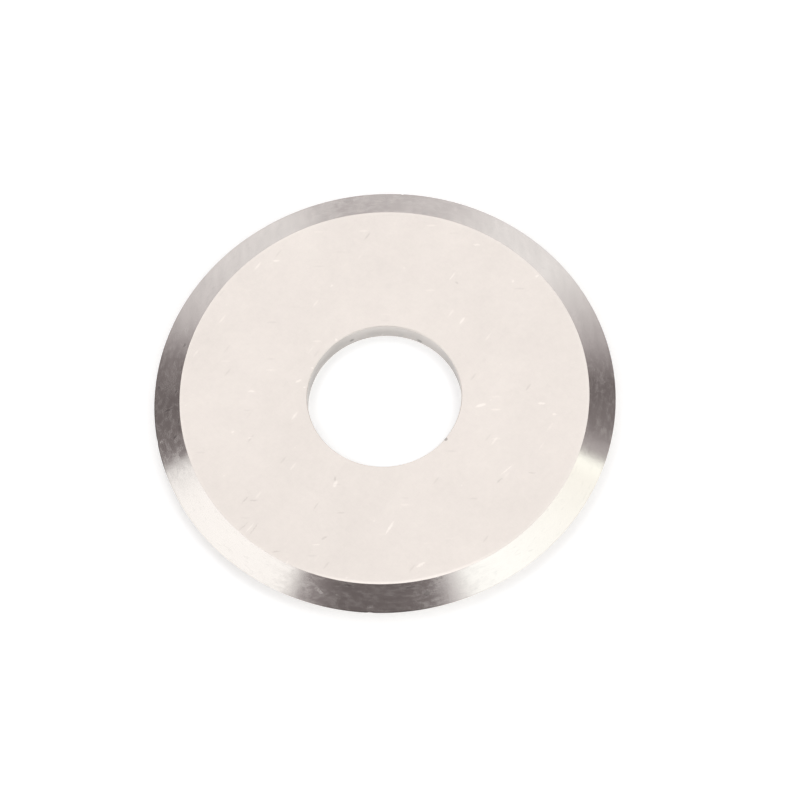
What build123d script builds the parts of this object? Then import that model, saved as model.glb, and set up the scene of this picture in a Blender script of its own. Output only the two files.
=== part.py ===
from build123d import *
import os

# Round blade of a wire stripping machine: a flat steel ring whose rim is ground to a V
# from both faces. It turns on a shaft that passes through its bore.
# The origin is the centre of the bore on the lower face, and +Z runs along the shaft.

# Blank, in millimetres
rim_diameter = 60.0
bore_diameter = 20.0
thickness = 3.0

# Each face is ground down towards the rim over this radial width
bevel_width = 3.4

# Height of the honed land that blunts the point of the V
edge_land = 0.1

# Size of the 45 degree chamfer that deburrs both mouths of the bore
bore_deburr = 0.1

# Radii and heights that follow from the sizes above
rim_radius = rim_diameter / 2
bore_radius = bore_diameter / 2
face_radius = rim_radius - bevel_width
land_bottom = (thickness - edge_land) / 2
land_top = (thickness + edge_land) / 2

os.makedirs("parts", exist_ok=True)

# Blade: the section from the bore out to the rim, turned about the shaft's axis
with BuildPart() as blade:
    with BuildSketch(Plane.XZ):
        with BuildLine():
            Polyline(
                (bore_radius, 0),
                (face_radius, 0),
                (rim_radius, land_bottom),
                (rim_radius, land_top),
                (face_radius, thickness),
                (bore_radius, thickness),
                close=True,
            )
        make_face()
    revolve(axis=Axis.Z)
    bore_mouths = blade.edges().filter_by(GeomType.CIRCLE).group_by(SortBy.RADIUS)[0]
    chamfer(bore_mouths, length=bore_deburr)

blade.part.label = "blade"
export_step(blade.part, "parts/blade.step")
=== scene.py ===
import math
import random

import bmesh
import bpy
from mathutils import Matrix, Vector


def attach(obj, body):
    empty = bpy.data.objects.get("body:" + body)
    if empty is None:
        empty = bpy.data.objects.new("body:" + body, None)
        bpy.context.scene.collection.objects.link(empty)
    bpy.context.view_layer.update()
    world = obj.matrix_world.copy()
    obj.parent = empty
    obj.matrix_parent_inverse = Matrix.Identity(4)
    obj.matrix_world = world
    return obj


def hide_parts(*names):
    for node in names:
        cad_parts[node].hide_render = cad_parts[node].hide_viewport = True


# Round blade of a wire stripping machine, dressed over its CAD node and laid on a pale floor.
# Everything is in metres, in the CAD frame: the bore's axis is Z and the lower face lies at Z = 0.

bl_info = {
    "name": "Stripper Blade",
    "version": (1, 0, 0),
    "blender": (4, 5, 0),
    "location": "View3D > Sidebar > Blade",
    "description": "Builds a round stripping blade with ground bevels, and a pale studio round it",
    "category": "Add Mesh",
}

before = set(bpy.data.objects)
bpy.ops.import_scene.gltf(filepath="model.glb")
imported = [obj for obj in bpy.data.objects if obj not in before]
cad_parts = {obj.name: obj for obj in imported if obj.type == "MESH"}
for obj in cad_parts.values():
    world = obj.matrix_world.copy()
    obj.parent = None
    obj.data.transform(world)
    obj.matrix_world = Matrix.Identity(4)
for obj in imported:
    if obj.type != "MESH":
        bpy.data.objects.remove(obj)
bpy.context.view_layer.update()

BLADE_NODE = "blade"
MM = 0.001
MICRON = 0.000001

# Two places closer than this are taken as one
SAME = 5 * MICRON


def ring_of(place):
    """Radius and height of a place."""
    return math.hypot(place.x, place.y), place.z


def heading(bearing, length=1.0):
    """The flat vector of that length along a bearing, which is counted from +X towards +Y."""
    return Vector((math.cos(bearing) * length, math.sin(bearing) * length, 0))


# The blade's sizes, read from the CAD node
cad_rings = [ring_of(vertex.co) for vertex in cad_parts[BLADE_NODE].data.vertices]
top = max(height for _, height in cad_rings)
rim_radius = max(radius for radius, _ in cad_rings)
bore_radius = min(radius for radius, _ in cad_rings)
face_radius = max(radius for radius, height in cad_rings if height > top - SAME)
mouth_radius = min(radius for radius, height in cad_rings if height > top - SAME)
land_heights = [height for radius, height in cad_rings if radius > rim_radius - SAME]
land_low = min(land_heights)
land_high = max(land_heights)
bevel_width = rim_radius - face_radius
bevel_slope = (top - land_high) / bevel_width
mouth_chamfer = mouth_radius - bore_radius


class BladeShape(bpy.types.PropertyGroup):
    """Sizes of the modelled blade that the CAD node doesn't give."""

    facets: bpy.props.IntProperty(
        name="Facets",
        description="Number of flats that make up the rim",
        default=1440, min=90, max=2880)
    face_rings: bpy.props.IntProperty(
        name="Face rings",
        description="Number of rings that each flat face is divided into",
        default=4, min=1, max=12)
    arris_round: bpy.props.FloatProperty(
        name="Arris round",
        description="Width taken off the line where the flat face meets the bevel",
        default=0.035 * MM, unit="LENGTH")
    land_round: bpy.props.FloatProperty(
        name="Land round",
        description="Width taken off both lines of the honed land",
        default=0.018 * MM, unit="LENGTH")
    mouth_round: bpy.props.FloatProperty(
        name="Mouth round",
        description="Width taken off the lines of the chamfer at the bore's mouth",
        default=0.025 * MM, unit="LENGTH")
    small_nicks: bpy.props.IntProperty(
        name="Small nicks",
        description="Number of slight nicks spread round the rim",
        default=12, min=0, max=60)


class BladeFinish(bpy.types.PropertyGroup):
    """Colours and finishes of the ground steel."""

    face_colour: bpy.props.FloatVectorProperty(
        name="Face colour",
        description="Steel of the satin flat faces",
        subtype="COLOR", default=(0.863, 0.811, 0.762))
    face_roughness: bpy.props.FloatProperty(
        name="Face roughness",
        description="How matt the flat faces are ground",
        subtype="FACTOR", default=0.42, min=0.0, max=1.0)
    bevel_colour: bpy.props.FloatVectorProperty(
        name="Bevel colour",
        description="Steel of the bright bevels",
        subtype="COLOR", default=(0.84, 0.80, 0.765))
    bevel_roughness: bpy.props.FloatProperty(
        name="Bevel roughness",
        description="How bright the bevels are ground",
        subtype="FACTOR", default=0.12, min=0.0, max=1.0)
    bevel_lay: bpy.props.FloatProperty(
        name="Bevel lay",
        description="How strongly the grinding lines run round the rim",
        subtype="FACTOR", default=0.7, min=0.0, max=1.0)
    bore_colour: bpy.props.FloatVectorProperty(
        name="Bore colour",
        description="Steel of the bore's wall",
        subtype="COLOR", default=(0.568, 0.538, 0.515))
    bore_roughness: bpy.props.FloatProperty(
        name="Bore roughness",
        description="How matt the bore's wall is turned",
        subtype="FACTOR", default=0.33, min=0.0, max=1.0)


class StudioSetup(bpy.types.PropertyGroup):
    """The camera, the lights and the floor."""

    elevation: bpy.props.FloatProperty(
        name="Elevation",
        description="Angle of the camera above the floor",
        unit="ROTATION", default=math.radians(64.96))
    roll: bpy.props.FloatProperty(
        name="Roll",
        description="Turn of the camera about its own line of sight",
        unit="ROTATION", default=math.radians(5.77))
    lens: bpy.props.FloatProperty(
        name="Lens",
        description="Focal length in millimetres",
        default=350.0)
    distance: bpy.props.FloatProperty(
        name="Distance",
        description="From the camera to the middle of the blade",
        unit="LENGTH", default=1.0102)
    aim_right: bpy.props.FloatProperty(
        name="Aim right",
        description="How far the camera is shifted to its right",
        unit="LENGTH", default=1.977 * MM)
    aim_up: bpy.props.FloatProperty(
        name="Aim up",
        description="How far the camera is shifted up its picture",
        unit="LENGTH", default=0.125 * MM)
    overhead_level: bpy.props.FloatProperty(
        name="Overhead level",
        description="Brightness of the panel above the blade",
        default=1.05)
    front_level: bpy.props.FloatProperty(
        name="Front level",
        description="Brightness of the tent low down in front of the blade",
        default=0.82)
    room_colour: bpy.props.FloatVectorProperty(
        name="Room colour",
        description="The dim roof of the light tent round the overhead panel",
        subtype="COLOR", default=(0.146, 0.122, 0.125))
    floor_colour: bpy.props.FloatVectorProperty(
        name="Floor colour",
        description="Pale paper that the blade lies on",
        subtype="COLOR", default=(0.8, 0.8, 0.8))
    floor_glow: bpy.props.FloatProperty(
        name="Floor glow",
        description="Share of white that the paper shows to the camera even in shade",
        default=0.45)
    # Painted light on the paper inside the bore, which weakens the wall's shadow there
    bore_painted_light: bpy.props.FloatProperty(
        name="Bore glow",
        description="Share of white that the paper inside the bore shows beyond that",
        default=0.09)
    rim_shade: bpy.props.FloatProperty(
        name="Rim shade",
        description="Share of white that the paper loses along the rim on its shaded side",
        default=0.04)
    skirt_shade: bpy.props.FloatProperty(
        name="Skirt shade",
        description="Share of white that the paper loses all round, close to the blade",
        default=0.05)
    shade_bearing: bpy.props.FloatProperty(
        name="Shaded side",
        description="Middle of the rim's shaded side, counted from +X towards +Y",
        unit="ROTATION", default=math.radians(219))


# Helpers for nodes

# Shares of a mark's half size at which it has faded out and at which it is full
MARK_FADE = (1.25, 0.6)

# Noise that makes marks ragged: waves per metre, and how far it shifts them on face and bevel
RAGGED_SCALE = 4000.0
FACE_SHIFT = 0.25 * MM
BEVEL_SHIFT = 0.3 * MM


def add(tree, kind, inputs=None, **settings):
    """Adds a node with its settings, and gives its sockets a value or another node's output."""
    made = tree.nodes.new(kind)
    for name, value in settings.items():
        setattr(made, name, value)
    for key, value in (inputs or {}).items():
        if isinstance(value, bpy.types.NodeSocket):
            tree.links.new(value, made.inputs[key])
        else:
            made.inputs[key].default_value = value
    return made


def calc(tree, operation, first, second=0.0, third=0.0):
    """One Math node."""
    return add(tree, "ShaderNodeMath", {0: first, 1: second, 2: third}, operation=operation).outputs[0]


def vector(tree, operation, inputs):
    """The outputs of one Vector Math node."""
    return add(tree, "ShaderNodeVectorMath", inputs, operation=operation).outputs


def axes_of(tree, value):
    """The three parts of a vector or a colour."""
    return add(tree, "ShaderNodeSeparateXYZ", {0: value}).outputs


def blend(tree, share, first, second):
    """The first colour where the share is 0, and the second where it is 1."""
    return add(tree, "ShaderNodeMix", {0: share, 6: first, 7: second}, data_type="RGBA").outputs[2]


def between(tree, value, low, high, to_low=0.0, to_high=1.0):
    """Eases a value from one range to another, and holds it at the ends."""
    inputs = {"Value": value, "From Min": low, "From Max": high, "To Min": to_low, "To Max": to_high}
    return add(tree, "ShaderNodeMapRange", inputs, interpolation_type="SMOOTHSTEP", clamp=True).outputs[0]


def noise(tree, coords, scale, detail=2.0, roughness=0.5):
    """A grey noise from 0 to 1, with its middle at 0.5, and scale waves to a unit of the coordinates."""
    inputs = {"Vector": coords, "Scale": scale, "Detail": detail, "Roughness": roughness}
    return add(tree, "ShaderNodeTexNoise", inputs).outputs["Fac"]


def mapped(tree, coords, angle=0.0, scale=(1, 1, 1)):
    """The coordinates turned so that the angle lies along X, and then scaled."""
    inputs = {"Vector": coords, "Rotation": (0, 0, -angle)}
    turned = add(tree, "ShaderNodeMapping", inputs).outputs[0]
    return vector(tree, "MULTIPLY", {0: turned, 1: scale})[0]


def flattened(tree, coords):
    """The coordinates without their height."""
    return vector(tree, "MULTIPLY", {0: coords, 1: (1, 1, 0)})[0]


def radius_of(tree, coords):
    """The distance from the Z axis."""
    return vector(tree, "LENGTH", {0: flattened(tree, coords)})["Value"]


def outwards_from(tree, coords):
    """The direction straight away from the Z axis."""
    return vector(tree, "NORMALIZE", {0: flattened(tree, coords)})[0]


def facing(tree, direction, bearing):
    """How squarely a flat direction faces a bearing: the cosine of the angle between them."""
    return vector(tree, "DOT_PRODUCT", {0: direction, 1: heading(bearing)})["Value"]


def total(tree, start, parts):
    """The start plus (weight, grey value, middle) parts, each its weight times its distance from middle."""
    result = start - sum(weight * middle for weight, _, middle in parts)
    for weight, value, _ in parts:
        result = calc(tree, "MULTIPLY_ADD", value, weight, result)
    return result


def marked(tree, coords, marks, height, depth):
    """A grey mask of short marks round a height: full on a mark, and soft towards its pointed ends."""
    nearest = None
    for x, y, angle, length, width in marks:
        inputs = {
            "Vector": coords,
            "Location": (x * MM, y * MM, height),
            "Rotation": (0, 0, math.radians(angle)),
            "Scale": (length / 2 * MM, width / 2 * MM, depth),
        }
        place = add(tree, "ShaderNodeMapping", inputs, vector_type="TEXTURE").outputs[0]
        away = vector(tree, "LENGTH", {0: place})["Value"]
        nearest = away if nearest is None else calc(tree, "MINIMUM", nearest, away)
    return between(tree, nearest, *MARK_FADE)


def jittered(tree, coords, reach):
    """The coordinates shifted by a fine noise, so that what is placed with them gets ragged edges."""
    inputs = {"Vector": coords, "Scale": RAGGED_SCALE, "Detail": 1.0}
    jitter = add(tree, "ShaderNodeTexNoise", inputs).outputs["Color"]
    jitter = vector(tree, "SUBTRACT", {0: jitter, 1: (0.5, 0.5, 0.5)})[0]
    jitter = vector(tree, "SCALE", {0: jitter, "Scale": reach})[0]
    return vector(tree, "ADD", {0: coords, 1: jitter})[0]


def new_material(name):
    """An empty material, its tree, its output's surface socket and its object coordinates."""
    material = bpy.data.materials.new(name)
    material.use_nodes = True
    tree = material.node_tree
    tree.nodes.clear()
    output = add(tree, "ShaderNodeOutputMaterial")
    coords = add(tree, "ShaderNodeTexCoord").outputs["Object"]
    return material, tree, output.inputs["Surface"], coords


def metal(tree, surface, colour, lift, rough, height, relief, **lay):
    """Bare steel: its colour times the lift, its roughness, and the grey height as a relief that deep."""
    shade = vector(tree, "SCALE", {0: tuple(colour), "Scale": lift})[0]
    bump = add(tree, "ShaderNodeBump", {"Height": height, "Strength": 1.0, "Distance": relief}).outputs[0]
    inputs = {"Base Color": shade, "Metallic": 1.0, "Roughness": rough, "Normal": bump, **lay}
    shader = add(tree, "ShaderNodeBsdfPrincipled", inputs)
    tree.links.new(shader.outputs[0], surface)


# Materials

# Marks on the upper face, with painted glints among the pale ones:
# x and y in mm, angle in degrees, length and width in mm
PALE_MARKS_AND_GLINTS = (
    (10.4, 16.2, 50, 1.4, 0.16),
    (14.8, -12.2, 38, 2.1, 0.16),
    (-1.0, -18.7, 54, 2.2, 0.26),
    (12.3, -2.7, 12, 1.4, 0.40),
    (2.5, -24.3, 24, 1.5, 0.34),
    (-12.3, 21.0, -6, 0.9, 0.30),
    (14.0, 20.4, -6, 0.9, 0.26),
    (-17.1, 2.6, -6, 0.9, 0.26),
    (-10.9, 3.4, 20, 0.9, 0.26),
    (20.2, -3.3, -6, 1.0, 0.28),
    (21.7, -5.0, 0, 0.6, 0.26),
    (-7.4, -11.75, 60, 1.0, 0.50),
    (18.2, 14.6, 70, 0.4, 0.30),
    (21.4, 15.0, 20, 0.5, 0.34),
    (-5.4, 16.6, 40, 0.4, 0.26),
    (-10.6, -20.0, -6, 1.0, 0.16),
    (-18.9, -16.7, 45, 1.5, 0.14),
    (-20.0, -2.9, 60, 0.4, 0.30),
    (-17.8, -4.0, -6, 0.6, 0.24),
    # Painted glints of small chips along the bore's mouth
    (-5.5, 8.75, -58, 0.4, 0.26),
    (-8.9, 5.05, -30, 0.4, 0.24),
    (-10.2, 2.4, -12, 0.4, 0.24),
)
DARK_MARKS = (
    (-19.7, -16.4, 40, 1.8, 0.13),
    (-18.4, -16.9, 52, 2.0, 0.13),
    (-19.2, -12.7, 41, 1.4, 0.12),
    (-18.1, -12.9, -6, 1.1, 0.13),
    (-7.1, -15.9, -6, 1.1, 0.14),
    (-9.5, -19.2, 24, 0.8, 0.32),
    (-15.8, -20.4, 0, 1.1, 0.18),
    (18.0, -13.0, -6, 1.0, 0.14),
    (-7.4, -11.0, 80, 0.6, 0.32),
    (13.7, -13.6, 40, 1.0, 0.24),
    (10.9, 15.2, -50, 0.6, 0.26),
)
STAINS = (
    (7.36, -6.99, 0, 0.50, 0.52),
)

# How much paler or darker the marks and the painted glints are than the face
PALE_LIFT = 0.095
DARK_LIFT = -0.085
STAIN_LIFT = -0.45

# Angles of lapping marks: those that lean, and those that lie nearly level
LAPPING_ANGLE = math.radians(49)
LEVEL_ANGLE = math.radians(-6)

# Dashes: cells per metre along, across and through them, the share of cells that stays empty, how
# far from its middle a dash has faded out and how far it is full, and its darkest and palest tone
DASH_CELLS = (340, 1500, 1)
DASH_RARITY = 0.945
DASH_FADE = (0.30, 0.08)
DASH_TONES = (-0.9, 1.1)

# Specks, in the same way
SPECK_CELLS = 430.0
SPECK_RARITY = 0.62
SPECK_FADE = (0.075, 0.03)

# The burnished line and its painted highlight: how far inside the arris it begins and is full,
# between which places along Y the painted highlight makes it stronger, and its strength before that
BURNISH_HIGHLIGHT_FADE = (0.44 * MM, 0.20 * MM)
HIGHLIGHT_FRONT = (-23 * MM, -26 * MM)
HIGHLIGHT_FAINT = 0.2


def dashes(tree, coords, angle):
    """Short dashes that lie along the angle: above zero where pale, below where dark, and zero between."""
    inputs = {"Vector": mapped(tree, coords, angle, DASH_CELLS), "Scale": 1.0}
    cells = add(tree, "ShaderNodeTexVoronoi", inputs, voronoi_dimensions="2D").outputs
    draws = axes_of(tree, cells["Color"])
    some = calc(tree, "GREATER_THAN", draws[0], DASH_RARITY)
    shape = between(tree, cells["Distance"], *DASH_FADE)
    darkest, palest = DASH_TONES
    tone = calc(tree, "MULTIPLY_ADD", draws[1], palest - darkest, darkest)
    return calc(tree, "MULTIPLY", calc(tree, "MULTIPLY", some, shape), tone)


def satin_face(finish):
    """Flat faces: surface ground and lapped, an even satin with a few pale specks and short marks."""
    material, tree, surface, coords = new_material("satin_face")

    # Lapping grain, in two directions, under a slow mottling
    grain = noise(tree, mapped(tree, coords, LAPPING_ANGLE, (900, 9000, 900)), 1.0)
    cross_grain = noise(tree, mapped(tree, coords, -LAPPING_ANGLE, (700, 7000, 700)), 1.0)
    pits = noise(tree, coords, 5200.0)
    blots = noise(tree, coords, 1300.0)
    mottle = noise(tree, coords, 420.0, 3.0, 0.6)
    clouds = noise(tree, coords, 110.0)

    # Specks: one small pale dot in some cells of a loose pattern
    cells = add(tree, "ShaderNodeTexVoronoi", {"Vector": coords, "Scale": SPECK_CELLS}).outputs
    some = calc(tree, "GREATER_THAN", axes_of(tree, cells["Color"])[0], SPECK_RARITY)
    specks = calc(tree, "MULTIPLY", between(tree, cells["Distance"], *SPECK_FADE), some)

    # Short lapping dashes, pale and dark, that lean two ways
    leaning = dashes(tree, coords, LAPPING_ANGLE)
    level = dashes(tree, coords, LEVEL_ANGLE)

    # Marks left by handling, and painted glints of chips at the bore's mouth
    ragged = jittered(tree, coords, FACE_SHIFT)
    pale = marked(tree, ragged, PALE_MARKS_AND_GLINTS, top, top / 2)
    dark = marked(tree, ragged, DARK_MARKS, top, top / 2)
    stains = marked(tree, coords, STAINS, top, top / 2)

    # A burnished line along the arris, with a painted highlight that makes it stronger at the front
    inside, full = BURNISH_HIGHLIGHT_FADE
    burnish_highlight = between(tree, radius_of(tree, coords), face_radius - inside, face_radius - full)
    front = between(tree, axes_of(tree, coords)["Y"], *HIGHLIGHT_FRONT, HIGHLIGHT_FAINT)
    burnish_highlight = calc(tree, "MULTIPLY", burnish_highlight, front)

    lift = total(tree, 1.0, [
        (0.04, grain, 0.5), (0.03, cross_grain, 0.5), (0.035, pits, 0.5), (0.05, blots, 0.5),
        (0.10, mottle, 0.5), (0.10, clouds, 0.5), (0.05, specks, 0.0),
        (0.10, leaning, 0.0), (0.08, level, 0.0),
        (PALE_LIFT, pale, 0.0), (DARK_LIFT, dark, 0.0), (STAIN_LIFT, stains, 0.0), (0.07, burnish_highlight, 0.0),
    ])
    rough = total(tree, finish.face_roughness, [
        (0.10, grain, 0.5), (0.06, mottle, 0.5), (-0.10, specks, 0.0), (-0.08, leaning, 0.0),
        (-0.08, pale, 0.0), (0.08, dark, 0.0), (-0.08, burnish_highlight, 0.0),
    ])
    height = total(tree, 0.0, [
        (1.0, grain, 0.5), (0.7, cross_grain, 0.5), (0.8, pits, 0.5), (-0.8, pale, 0.0), (-1.6, dark, 0.0),
    ])
    metal(tree, surface, finish.face_colour, lift, rough, height, relief=1.5 * MICRON)
    return material


# Bruises and pits in the bevel: x and y in mm, angle in degrees, length and width in mm
BRUISES = (
    (-4.45, -29.20, 0, 1.20, 1.05),
    (-29.35, -2.72, 60, 0.80, 0.50),
    (-11.10, -25.95, -55, 0.75, 0.60),
    (-10.68, -26.40, -25, 0.65, 0.42),
    (-11.25, -26.95, 0, 1.10, 0.36),
)
PITS = (
    (-28.1, 1.40, 8, 1.2, 0.20),
    (-26.9, 3.70, 80, 0.5, 0.26),
    (-25.95, 7.00, 75, 1.1, 0.16),
    (-25.2, 10.30, 70, 0.5, 0.26),
    (-26.9, -1.10, 92, 1.8, 0.16),
    (-29.1, 5.05, 80, 0.5, 0.30),
    (-27.5, -2.60, 40, 0.5, 0.30),
    (2.96, -28.05, 10, 0.9, 0.60),
    (0.80, -27.20, 2, 1.4, 0.24),
    (-4.30, -29.60, 0, 0.5, 0.30),
    (-7.10, -26.05, -15, 1.3, 0.20),
    (4.60, -26.42, 10, 1.2, 0.20),
)

# Height of the middle of the upper bevel's marks, and how far they reach up and down from it
BEVEL_MARKS = (0.75 * top, 0.8 * top)

# Stretches of the rim with painted shade, where its edge mirrors the dark gap under it:
# bearing of the middle and half the length, in degrees
SHADED_EDGES = (
    (263, 18),
    (184, 13),
)

# How much darker the painted edge shade is than the bevel
EDGE_SHADE_LIFT = -0.45

# The darker rim line and the painted edge shade: how far inside the rim each begins, and how far it is full
DARK_LINE_FADE = (0.24 * MM, 0.08 * MM)
EDGE_SHADE_FADE = (0.14 * MM, 0.02 * MM)

# Places along Y between which the strokes towards the back come in
STROKES_FROM = (-8 * MM, 4 * MM)

# A stretch of the bevel with little haze, given as the burrs are, and the share of haze that stays
CLEAN_STRETCH = (336, 8)
CLEAN_HAZE = 0.15


def ground_bevel(finish):
    """Bevels: ground bright, with streaks that run round the rim and a haze of fine scratches."""
    material, tree, surface, coords = new_material("ground_bevel")
    radius = radius_of(tree, coords)
    outwards = outwards_from(tree, coords)

    def lines(turns, spacing, detail=2.0, roughness=0.5):
        """Noise drawn out round the rim: turns sets the length of its lines, spacing their width."""
        wide = vector(tree, "SCALE", {0: outwards, "Scale": turns})[0]
        depth = calc(tree, "MULTIPLY", radius, 1 / spacing)
        deep = add(tree, "ShaderNodeCombineXYZ", {"Z": depth}).outputs[0]
        place = vector(tree, "ADD", {0: wide, 1: deep})[0]
        return noise(tree, place, 1.0, detail, roughness)

    def stretch(bearing, reach, outside=0.0, middle=1.0):
        """A mask of one stretch of the rim, eased from its ends to half way to its middle."""
        along = facing(tree, outwards, math.radians(bearing))
        ends = (math.cos(math.radians(reach)), math.cos(math.radians(reach / 2)))
        return between(tree, along, *ends, outside, middle)

    def by_rim(begins, full):
        """A mask of the bevel's outermost part, from where it begins inside the rim to where it is full."""
        return between(tree, radius, rim_radius - begins, rim_radius - full)

    fine = lines(6.0, 0.07 * MM)
    streaks = lines(24.0, 0.55 * MM, 4.0, 0.65)
    patches = lines(8.0, 1.8 * MM)
    chatter = lines(40.0, 1.2 * MM)
    ripple = noise(tree, coords, 1300.0)
    dark_streaks = between(tree, lines(30.0, 0.28 * MM, 1.0), 0.62, 0.74)

    # Haze, which leaves one clean stretch
    haze = between(tree, streaks, 0.42, 0.60)
    haze = calc(tree, "MULTIPLY", haze, stretch(*CLEAN_STRETCH, 1.0, CLEAN_HAZE))

    # Strokes towards the back, on the far half of the ring
    strokes = noise(tree, mapped(tree, coords, scale=(900, 110, 900)), 1.0, 1.0)
    far_half = between(tree, axes_of(tree, coords)["Y"], *STROKES_FROM)
    strokes = calc(tree, "MULTIPLY", calc(tree, "SUBTRACT", strokes, 0.5), far_half)

    # A thin darker line along the rim
    dark_rim_line = calc(tree, "MULTIPLY", by_rim(*DARK_LINE_FADE), between(tree, streaks, 0.30, 0.60))

    # Painted shade on the edge, no wider than the land and the first of the bevel
    edge = by_rim(*EDGE_SHADE_FADE)
    edge_shades = [(EDGE_SHADE_LIFT, calc(tree, "MULTIPLY", edge, stretch(*shaded_edge)), 0.0) for shaded_edge in SHADED_EDGES]

    ragged = jittered(tree, coords, BEVEL_SHIFT)
    bruised = marked(tree, ragged, BRUISES, *BEVEL_MARKS)
    pitted = marked(tree, ragged, PITS, *BEVEL_MARKS)

    lift = total(tree, 1.0, [
        (0.035, fine, 0.5), (0.065, streaks, 0.5), (0.05, patches, 0.5), (0.145, strokes, 0.0),
        (-0.04, dark_streaks, 0.0), (-0.05, dark_rim_line, 0.0), (0.05, bruised, 0.0), (-0.21, pitted, 0.0), *edge_shades,
    ])
    rough = total(tree, finish.bevel_roughness, [
        (0.06, fine, 0.5), (0.095, haze, 0.0), (0.10, patches, 0.5), (0.08, bruised, 0.0),
    ])
    height = total(tree, 0.0, [
        (0.6, fine, 0.5), (0.8, streaks, 0.5), (1.0, chatter, 0.5), (1.2, ripple, 0.5),
    ])
    metal(tree, surface, finish.bevel_colour, lift, rough, height, relief=1.2 * MICRON,
          Anisotropic=finish.bevel_lay, Tangent=outwards)
    return material


# Specks and two wide pale patches on the bore's wall: bearing in degrees, height and radius in mm,
# and how much paler or darker
BORE_SPECKS = (
    (58.0, 0.65, 0.50, -0.42),
    (110.3, 1.05, 0.42, -0.38),
    (87.0, 0.45, 0.22, 0.25),
    (46.0, 1.60, 3.00, 0.08),
    (139.0, 1.60, 3.00, 0.05),
)

# Share of its radius within which a speck is full
SPECK_CORE = 0.4

# Bearing at which painted light makes the bore's wall palest
BORE_LIT_SIDE = math.radians(75)


def turned_bore(finish):
    """Bore: turned to size, with fine rings round its wall."""
    material, tree, surface, coords = new_material("turned_bore")
    rings = noise(tree, mapped(tree, coords, scale=(120, 120, 16000)), 1.0)
    mottle = noise(tree, coords, 700.0)
    patches = noise(tree, mapped(tree, coords, scale=(260, 260, 500)), 1.0)

    # Painted light at its upper edge, paler at its foot, and painted shade away from its lit side
    height = axes_of(tree, coords)["Z"]
    upper = between(tree, height, top * 0.35, top * 0.95)
    foot = between(tree, height, top * 0.25, top * 0.02)
    shaded = between(tree, facing(tree, outwards_from(tree, coords), BORE_LIT_SIDE), 0.92, 0.60)
    lifts = [
        (0.12, rings, 0.5), (0.10, mottle, 0.5), (0.30, patches, 0.5),
        (0.12, upper, 0.0), (0.05, foot, 0.0), (-0.11, shaded, 0.0),
    ]
    for bearing, speck_height, reach, strength in BORE_SPECKS:
        point = heading(math.radians(bearing), bore_radius)
        point.z = speck_height * MM
        away = vector(tree, "DISTANCE", {0: coords, 1: point})["Value"]
        lifts.append((strength, between(tree, away, reach * MM, reach * SPECK_CORE * MM), 0.0))
    lift = total(tree, 1.0, lifts)
    rough = total(tree, finish.bore_roughness, [(0.12, rings, 0.5), (0.08, mottle, 0.5)])
    metal(tree, surface, finish.bore_colour, lift, rough, rings, relief=1.5 * MICRON)
    return material


# Modelling

# Widths of the first insets from the land, close together where the bevel has its nicks
BEVEL_STEPS = (0.12 * MM, 0.30 * MM, 0.80 * MM)

# The cylinder's two caps are its only faces with more corners than this
CAP_CORNERS = 8

# Slight nicks in the rim under the two bruises near it: bearing in degrees, width and depth in mm
RIM_NICKS = (
    (261.2, 0.9, 0.05),
    (185.0, 0.7, 0.04),
)

# Small nicks: the seed of their draws, and the least and the greatest width and depth in mm
NICK_SEED = 7
SMALL_NICK_WIDTHS = (0.15, 0.35)
SMALL_NICK_DEPTHS = (0.02, 0.05)

# Share of a nick's width, to each side of its middle, that moves by the whole depth
NICK_CORE = 0.2

# Tilts of the flat faces, the bevels, the chamfers, and the bore's wall and the land
GROUND_TILTS = (0.0, math.atan(bevel_slope), math.pi / 4, math.pi / 2)

# A face within this angle of one of those tilts is part of a ground surface
TILT_TOLERANCE = math.radians(0.5)

# Lines whose faces meet at less than this angle are shaded smooth
SMOOTH_BELOW = math.radians(35)

# The mesh's material slots besides the first, which is the flat faces'
BEVEL_SLOT = 1
BORE_SLOT = 2


def in_bore(radius, height):
    """Whether a place lies on the bore's wall, at any height."""
    return radius < bore_radius + SAME


def on_land(radius, height):
    """Whether a place lies on the honed land, at any height."""
    return radius > rim_radius - SAME


def on_arris(radius, height):
    """Whether a place lies on the line where a flat face meets its bevel."""
    return abs(radius - face_radius) < SAME and not SAME < height < top - SAME


def on_mouth(radius, height):
    """Whether a place lies on one of the bore's two chamfers or on their lines."""
    depth = mouth_chamfer + SAME
    return radius < mouth_radius + SAME and not depth < height < top - depth


def is_ground(face):
    """Whether a face is part of a ground surface, and not of a rounded line."""
    tilt = math.acos(min(abs(face.normal.z), 1.0))
    return any(abs(tilt - ground) < TILT_TOLERANCE for ground in GROUND_TILTS)


def deselect_all():
    """In object mode, deselects every object."""
    bpy.ops.object.select_all(action="DESELECT")


def select_rings(mesh, test):
    """In edit mode, selects the edges that run round the blade where the test on (radius, height) holds."""
    bpy.ops.mesh.select_mode(type="EDGE")
    bpy.ops.mesh.select_all(action="DESELECT")
    edit = bmesh.from_edit_mesh(mesh)
    rings = {vertex: ring_of(vertex.co) for vertex in edit.verts}
    chosen = {vertex for vertex, ring in rings.items() if test(*ring)}
    for edge in edit.edges:
        first, second = edge.verts
        if first in chosen and second in chosen and math.dist(rings[first], rings[second]) < SAME:
            edge.select = True
    bmesh.update_edit_mesh(mesh)


def select_faces(mesh, test):
    """In edit mode, selects the faces that pass the test."""
    bpy.ops.mesh.select_mode(type="FACE")
    bpy.ops.mesh.select_all(action="DESELECT")
    for face in bmesh.from_edit_mesh(mesh).faces:
        if test(face):
            face.select = True
    bmesh.update_edit_mesh(mesh)


def select_near(mesh, point, reach):
    """In edit mode, selects the vertices within reach of the point."""
    bpy.ops.mesh.select_mode(type="VERT")
    bpy.ops.mesh.select_all(action="DESELECT")
    for vertex in bmesh.from_edit_mesh(mesh).verts:
        if (vertex.co - point).length < reach:
            vertex.select = True
    bmesh.update_edit_mesh(mesh)


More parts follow.
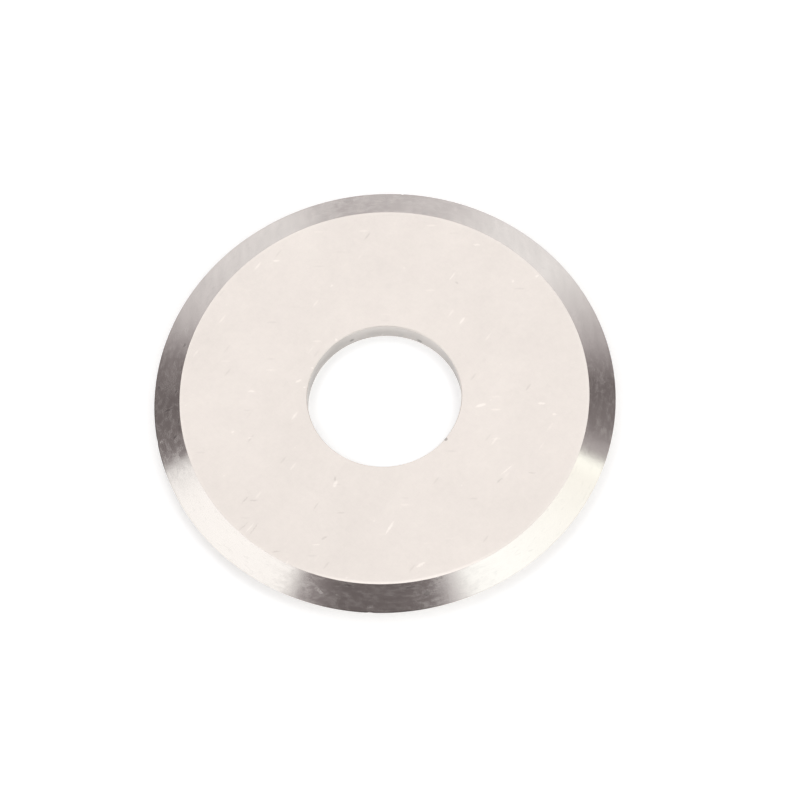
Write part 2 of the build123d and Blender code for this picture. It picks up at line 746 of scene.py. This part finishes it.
class BLADE_OT_grind_blade(bpy.types.Operator):
    """Models the blade: a turned ring, ground to a V at the rim, in place of its CAD node"""

    bl_idname = "blade.grind_blade"
    bl_label = "Grind Blade"
    bl_options = {"REGISTER", "UNDO"}

    def execute(self, context):
        shape = context.scene.blade_shape
        finish = context.scene.blade_finish
        deselect_all()
        bpy.ops.mesh.primitive_cylinder_add(
            vertices=shape.facets, radius=rim_radius, depth=land_high - land_low,
            end_fill_type="NGON", location=(0, 0, (land_high + land_low) / 2))
        blade = context.object
        blade.name = "stripper_blade"
        blade.data.name = "stripper_blade"
        bpy.ops.object.transform_apply(location=True, rotation=True, scale=True)
        mesh = blade.data
        bpy.ops.object.mode_set(mode="EDIT")

        # Both caps go in and out together, so the two sides come out alike
        select_faces(mesh, lambda face: len(face.verts) > CAP_CORNERS)
        steps = (*BEVEL_STEPS, bevel_width - sum(BEVEL_STEPS))
        insets = [(step, step * bevel_slope) for step in steps]
        insets += [((face_radius - mouth_radius) / shape.face_rings, 0.0)] * shape.face_rings
        insets.append((mouth_chamfer, -mouth_chamfer))
        for width, rise in insets:
            bpy.ops.mesh.inset(thickness=width, depth=rise, use_individual=True)

        # The bore
        bpy.ops.mesh.delete(type="FACE")
        select_rings(mesh, in_bore)
        bpy.ops.mesh.bridge_edge_loops(number_cuts=2)

        self.round_rings(mesh, on_arris, shape.arris_round, 3)
        self.round_rings(mesh, on_land, shape.land_round, 2)
        self.round_rings(mesh, on_mouth, shape.mouth_round, 2)

        for bearing, width, depth in RIM_NICKS:
            self.nick_rim(mesh, math.radians(bearing), width * MM, depth * MM)
        chance = random.Random(NICK_SEED)
        for _ in range(shape.small_nicks):
            bearing = chance.uniform(0, 2 * math.pi)
            width = chance.uniform(*SMALL_NICK_WIDTHS) * MM
            self.nick_rim(mesh, bearing, width, chance.uniform(*SMALL_NICK_DEPTHS) * MM)

        bpy.ops.mesh.select_all(action="SELECT")
        bpy.ops.mesh.normals_make_consistent(inside=False)
        bpy.ops.mesh.select_all(action="DESELECT")
        bpy.ops.object.mode_set(mode="OBJECT")

        for material in (satin_face(finish), ground_bevel(finish), turned_bore(finish)):
            mesh.materials.append(material)
        for face in mesh.polygons:
            radius, height = ring_of(face.center)
            if in_bore(radius, height):
                face.material_index = BORE_SLOT
            elif radius > face_radius:
                face.material_index = BEVEL_SLOT

        # Ground surfaces stay true up to their rounded lines
        bpy.ops.object.shade_smooth_by_angle(angle=SMOOTH_BELOW)
        bpy.ops.object.mode_set(mode="EDIT")
        select_faces(mesh, is_ground)
        bpy.ops.mesh.set_normals_from_faces(keep_sharp=False)
        bpy.ops.mesh.select_all(action="DESELECT")
        bpy.ops.object.mode_set(mode="OBJECT")

        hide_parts(BLADE_NODE)
        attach(blade, "root")
        return {"FINISHED"}

    def nick_rim(self, mesh, bearing, width, depth):
        """Pushes a short stretch of the rim inwards, fading out to half the width on each side."""
        outwards = heading(bearing)
        tip = outwards * rim_radius
        tip.z = top / 2
        select_near(mesh, tip, max(width * NICK_CORE, land_high - land_low))
        bpy.ops.transform.translate(
            value=-outwards * depth, use_proportional_edit=True,
            proportional_edit_falloff="SMOOTH", proportional_size=width / 2)

    def round_rings(self, mesh, test, width, segments):
        """Bevels the edges that run round the blade where the test holds."""
        select_rings(mesh, test)
        bpy.ops.mesh.bevel(offset=width, segments=segments, profile=0.5, affect="EDGES")


# Studio

# The paper's side, and how far it lies below the lower face so that the two don't share a plane
PAPER_SIZE = 8.0
PAPER_GAP = 0.01 * MM

# How far inside the bore's wall the painted light on the paper begins, and how far it is full
BORE_LIGHT_FADE = (0.3 * MM, 1.8 * MM)

# How far the skirt of shade reaches out from the rim, and how close to the bore it ends
SKIRT_REACH = 2.8 * MM
SKIRT_END = 1.0 * MM

# How far outside the rim its deeper shade begins, and how far inside it is full
RIM_SHADE_FADE = (1.1 * MM, 0.1 * MM)

# How squarely the ends of that shade, and its full stretch, face the shaded side
RIM_SHADE_ENDS = (0.80, 0.95)

# Distance and diameter of the overhead panel
PANEL_DISTANCE = 0.8
PANEL_SIZE = 0.72

# The camera's sensor in millimetres, and the nearest and the farthest that it sees
SENSOR_WIDTH = 36.0
CLIP_RANGE = (0.05, 20.0)


def paper(setup):
    """Floor: pale paper, white to the camera and in reflections, with the blade's shadow kept."""
    material, tree, surface, coords = new_material("white_paper")
    path = add(tree, "ShaderNodeLightPath").outputs
    seen = calc(tree, "MAXIMUM", path["Is Camera Ray"], path["Is Glossy Ray"])
    seen = calc(tree, "MAXIMUM", seen, path["Is Transmission Ray"])

    # Painted light: paler paper inside the bore, which weakens the wall's shadow there
    radius = radius_of(tree, coords)
    edge, full = BORE_LIGHT_FADE
    inside = between(tree, radius, bore_radius - edge, bore_radius - full)

    # A skirt of faint shade all round the rim, which leaves out the bore
    skirt = between(tree, radius, rim_radius + SKIRT_REACH, rim_radius)
    skirt = calc(tree, "MULTIPLY", skirt, between(tree, radius, bore_radius, bore_radius + SKIRT_END))

    # A deeper shade, close to the rim on its shaded side
    side = facing(tree, outwards_from(tree, coords), setup.shade_bearing)
    edge, full = RIM_SHADE_FADE
    beside = between(tree, radius, rim_radius + edge, rim_radius - full)
    shade = calc(tree, "MULTIPLY", between(tree, side, *RIM_SHADE_ENDS), beside)

    strength = total(tree, setup.floor_glow, [
        (setup.bore_painted_light, inside, 0.0), (-setup.rim_shade, shade, 0.0), (-setup.skirt_shade, skirt, 0.0),
    ])
    glow = add(tree, "ShaderNodeEmission", {"Strength": calc(tree, "MULTIPLY", seen, strength)})
    matt = add(tree, "ShaderNodeBsdfDiffuse", {"Color": (*setup.floor_colour, 1)})
    both = add(tree, "ShaderNodeAddShader", {0: glow.outputs[0], 1: matt.outputs[0]})
    tree.links.new(both.outputs[0], surface)
    return material


# The light tent's walls: bearing in degrees round the overhead panel, counted from +X towards +Y,
# and brightness. The two bright stretches are its softboxes.
TENT_WALLS = (
    (2, 0.22), (12, 0.48), (34, 0.90), (54, 0.86), (66, 0.66), (84, 0.55), (98, 0.52), (112, 0.83),
    (134, 0.76), (150, 0.58), (162, 0.22), (176, 0.14), (188.5, 0.19), (191.5, 0.27), (194, 0.97),
    (204, 1.14), (238.3, 1.16), (242.8, 0.35), (245, 0.27), (249, 0.20), (252.5, 0.135),
    (270, 0.14), (278, 0.20), (283, 0.69), (288, 1.22), (296, 1.27), (331, 1.13), (335.8, 1.42),
    (336.6, 0.37), (340, 0.42), (343.5, 0.23), (355, 0.16),
)

# Warmer stretches of the walls: both ends in degrees, and the gain in red and in blue
WARM_WALLS = (
    (195, 240, 1.02, 1.0),
    (310, 336.5, 1.01, 0.95),
)

# Gain in red and in blue from a wall's shade, and from deep shade, which is its fourth power
SHADE_TINT = (0.10, 0.04)
DEEP_TINT = (0.10, -0.04)

# On a sky of radius 1 seen from above, the distances from the panel between which the roof passes
# into the walls and the walls pass into the front, and the heights between which the sweep begins
ROOF_TO_WALLS = (0.36, 0.46)
WALLS_TO_FRONT = (1.1, 1.25)
WALLS_TO_SWEEP = (0.24, 0.12)

WHITE = (1, 1, 1, 1)


def wall_colour(bearing, level):
    """The colour of a wall at that bearing in degrees and that brightness: the darker, the redder."""
    shade = 1 - level
    deep = max(shade, 0) ** 4
    red = level * (1 + SHADE_TINT[0] * shade + DEEP_TINT[0] * deep)
    blue = level * (1 + SHADE_TINT[1] * shade + DEEP_TINT[1] * deep)
    for first, last, red_gain, blue_gain in WARM_WALLS:
        if first < bearing < last:
            red *= red_gain
            blue *= blue_gain
    return red, level, blue, 1


def tent(setup):
    """World: walls of uneven brightness round a dim roof, and a white sweep at the horizon."""
    world = bpy.data.worlds.new("light_tent")
    world.use_nodes = True
    tree = world.node_tree
    tree.nodes.clear()
    output = add(tree, "ShaderNodeOutputWorld")
    direction = add(tree, "ShaderNodeTexCoord").outputs["Generated"]

    # The walls stand round the roof panel that the flat face mirrors to the camera
    panel = (0, math.cos(setup.elevation), 0)
    aside = vector(tree, "SUBTRACT", {0: direction, 1: panel})[0]
    away = radius_of(tree, aside)
    axes = axes_of(tree, aside)
    bearing = calc(tree, "ARCTAN2", axes["Y"], axes["X"])
    turn = calc(tree, "FRACT", calc(tree, "DIVIDE", bearing, 2 * math.pi))

    ramp = add(tree, "ShaderNodeValToRGB", {"Fac": turn})
    ramp.color_ramp.interpolation = "LINEAR"
    stops = ramp.color_ramp.elements
    while len(stops) < len(TENT_WALLS):
        stops.new(0.5)
    for stop, (wall_bearing, level) in zip(stops, TENT_WALLS):
        stop.position = wall_bearing / 360
        stop.color = wall_colour(wall_bearing, level)

    # The roof, the walls round it, the front beyond them, and the sweep below them all
    roof = (*setup.room_colour, 1)
    front = (setup.front_level, setup.front_level, setup.front_level, 1)
    seen = blend(tree, between(tree, away, *ROOF_TO_WALLS), roof, ramp.outputs["Color"])
    seen = blend(tree, between(tree, away, *WALLS_TO_FRONT), seen, front)
    height = axes_of(tree, direction)["Z"]
    seen = blend(tree, between(tree, height, *WALLS_TO_SWEEP), seen, WHITE)

    # The camera itself sees plain white
    seen = blend(tree, add(tree, "ShaderNodeLightPath").outputs["Is Camera Ray"], seen, WHITE)
    background = add(tree, "ShaderNodeBackground", {"Color": seen, "Strength": 1.0})
    tree.links.new(background.outputs[0], output.inputs["Surface"])
    return world


def add_panel(name, centre, along, length, width, level):
    """A soft oval lamp that looks at the blade's middle from centre, with its length turned to along."""
    bpy.ops.object.light_add(type="AREA", location=centre)
    lamp = bpy.context.object
    lamp.name = name
    back = Vector(centre).normalized()
    across = Vector(along)
    across = (across - across.dot(back) * back).normalized()
    upright = back.cross(across)
    lamp.matrix_world = Matrix.Translation(centre) @ Matrix((across, upright, back)).transposed().to_4x4()
    lamp.data.shape = "ELLIPSE"
    lamp.data.size = length
    lamp.data.size_y = width

    # A flat lamp of brightness 1 gives out pi watts for each square metre
    area = length * width * math.pi / 4
    lamp.data.energy = level * math.pi * area
    lamp.visible_camera = False


class BLADE_OT_lay_out_studio(bpy.types.Operator):
    """Lays out the paper floor, the light tent, the overhead panel and the camera"""

    bl_idname = "blade.lay_out_studio"
    bl_label = "Lay Out Studio"
    bl_options = {"REGISTER", "UNDO"}

    def execute(self, context):
        scene = context.scene
        setup = scene.blade_studio
        deselect_all()

        bpy.ops.mesh.primitive_plane_add(size=PAPER_SIZE, location=(0, 0, -PAPER_GAP))
        floor = context.object
        floor.name = "paper_floor"
        bpy.ops.object.transform_apply(location=True, rotation=True, scale=True)
        floor.data.materials.append(paper(setup))

        scene.world = tent(setup)
        overhead = Vector((0, math.cos(setup.elevation), math.sin(setup.elevation))) * PANEL_DISTANCE
        add_panel("overhead_panel", overhead, (1, 0, 0), PANEL_SIZE, PANEL_SIZE, setup.overhead_level)

        bpy.ops.object.camera_add()
        camera = context.object
        camera.name = "camera"
        camera.data.lens = setup.lens
        camera.data.sensor_width = SENSOR_WIDTH
        camera.data.clip_start, camera.data.clip_end = CLIP_RANGE
        turn = Matrix.Rotation(math.pi / 2 - setup.elevation, 3, "X") @ Matrix.Rotation(-setup.roll, 3, "Z")
        shift = Vector((setup.aim_right, setup.aim_up, setup.distance))
        camera.location = Vector((0, 0, top / 2)) + turn @ shift
        camera.rotation_euler = turn.to_euler()
        scene.camera = camera

        scene.view_settings.view_transform = "Standard"
        return {"FINISHED"}


class BLADE_PT_panel(bpy.types.Panel):
    """Buttons and sizes of the stripping blade"""

    bl_idname = "BLADE_PT_panel"
    bl_label = "Stripper Blade"
    bl_space_type = "VIEW_3D"
    bl_region_type = "UI"
    bl_category = "Blade"

    def draw(self, context):
        layout = self.layout
        scene = context.scene
        for title, settings, operator in (
            ("Shape", scene.blade_shape, "blade.grind_blade"),
            ("Finish", scene.blade_finish, None),
            ("Studio", scene.blade_studio, "blade.lay_out_studio"),
        ):
            box = layout.box()
            box.label(text=title)
            for name in settings.__annotations__:
                box.prop(settings, name)
            if operator:
                box.operator(operator)


CLASSES = (
    BladeShape,
    BladeFinish,
    StudioSetup,
    BLADE_OT_grind_blade,
    BLADE_OT_lay_out_studio,
    BLADE_PT_panel,
)


def register():
    for cls in CLASSES:
        bpy.utils.register_class(cls)
    bpy.types.Scene.blade_shape = bpy.props.PointerProperty(type=BladeShape)
    bpy.types.Scene.blade_finish = bpy.props.PointerProperty(type=BladeFinish)
    bpy.types.Scene.blade_studio = bpy.props.PointerProperty(type=StudioSetup)


def unregister():
    del bpy.types.Scene.blade_studio
    del bpy.types.Scene.blade_finish
    del bpy.types.Scene.blade_shape
    for cls in reversed(CLASSES):
        bpy.utils.unregister_class(cls)


def main():
    """Builds the blade and its studio."""
    register()
    bpy.ops.blade.grind_blade()
    bpy.ops.blade.lay_out_studio()


if __name__ == "__main__":
    main()
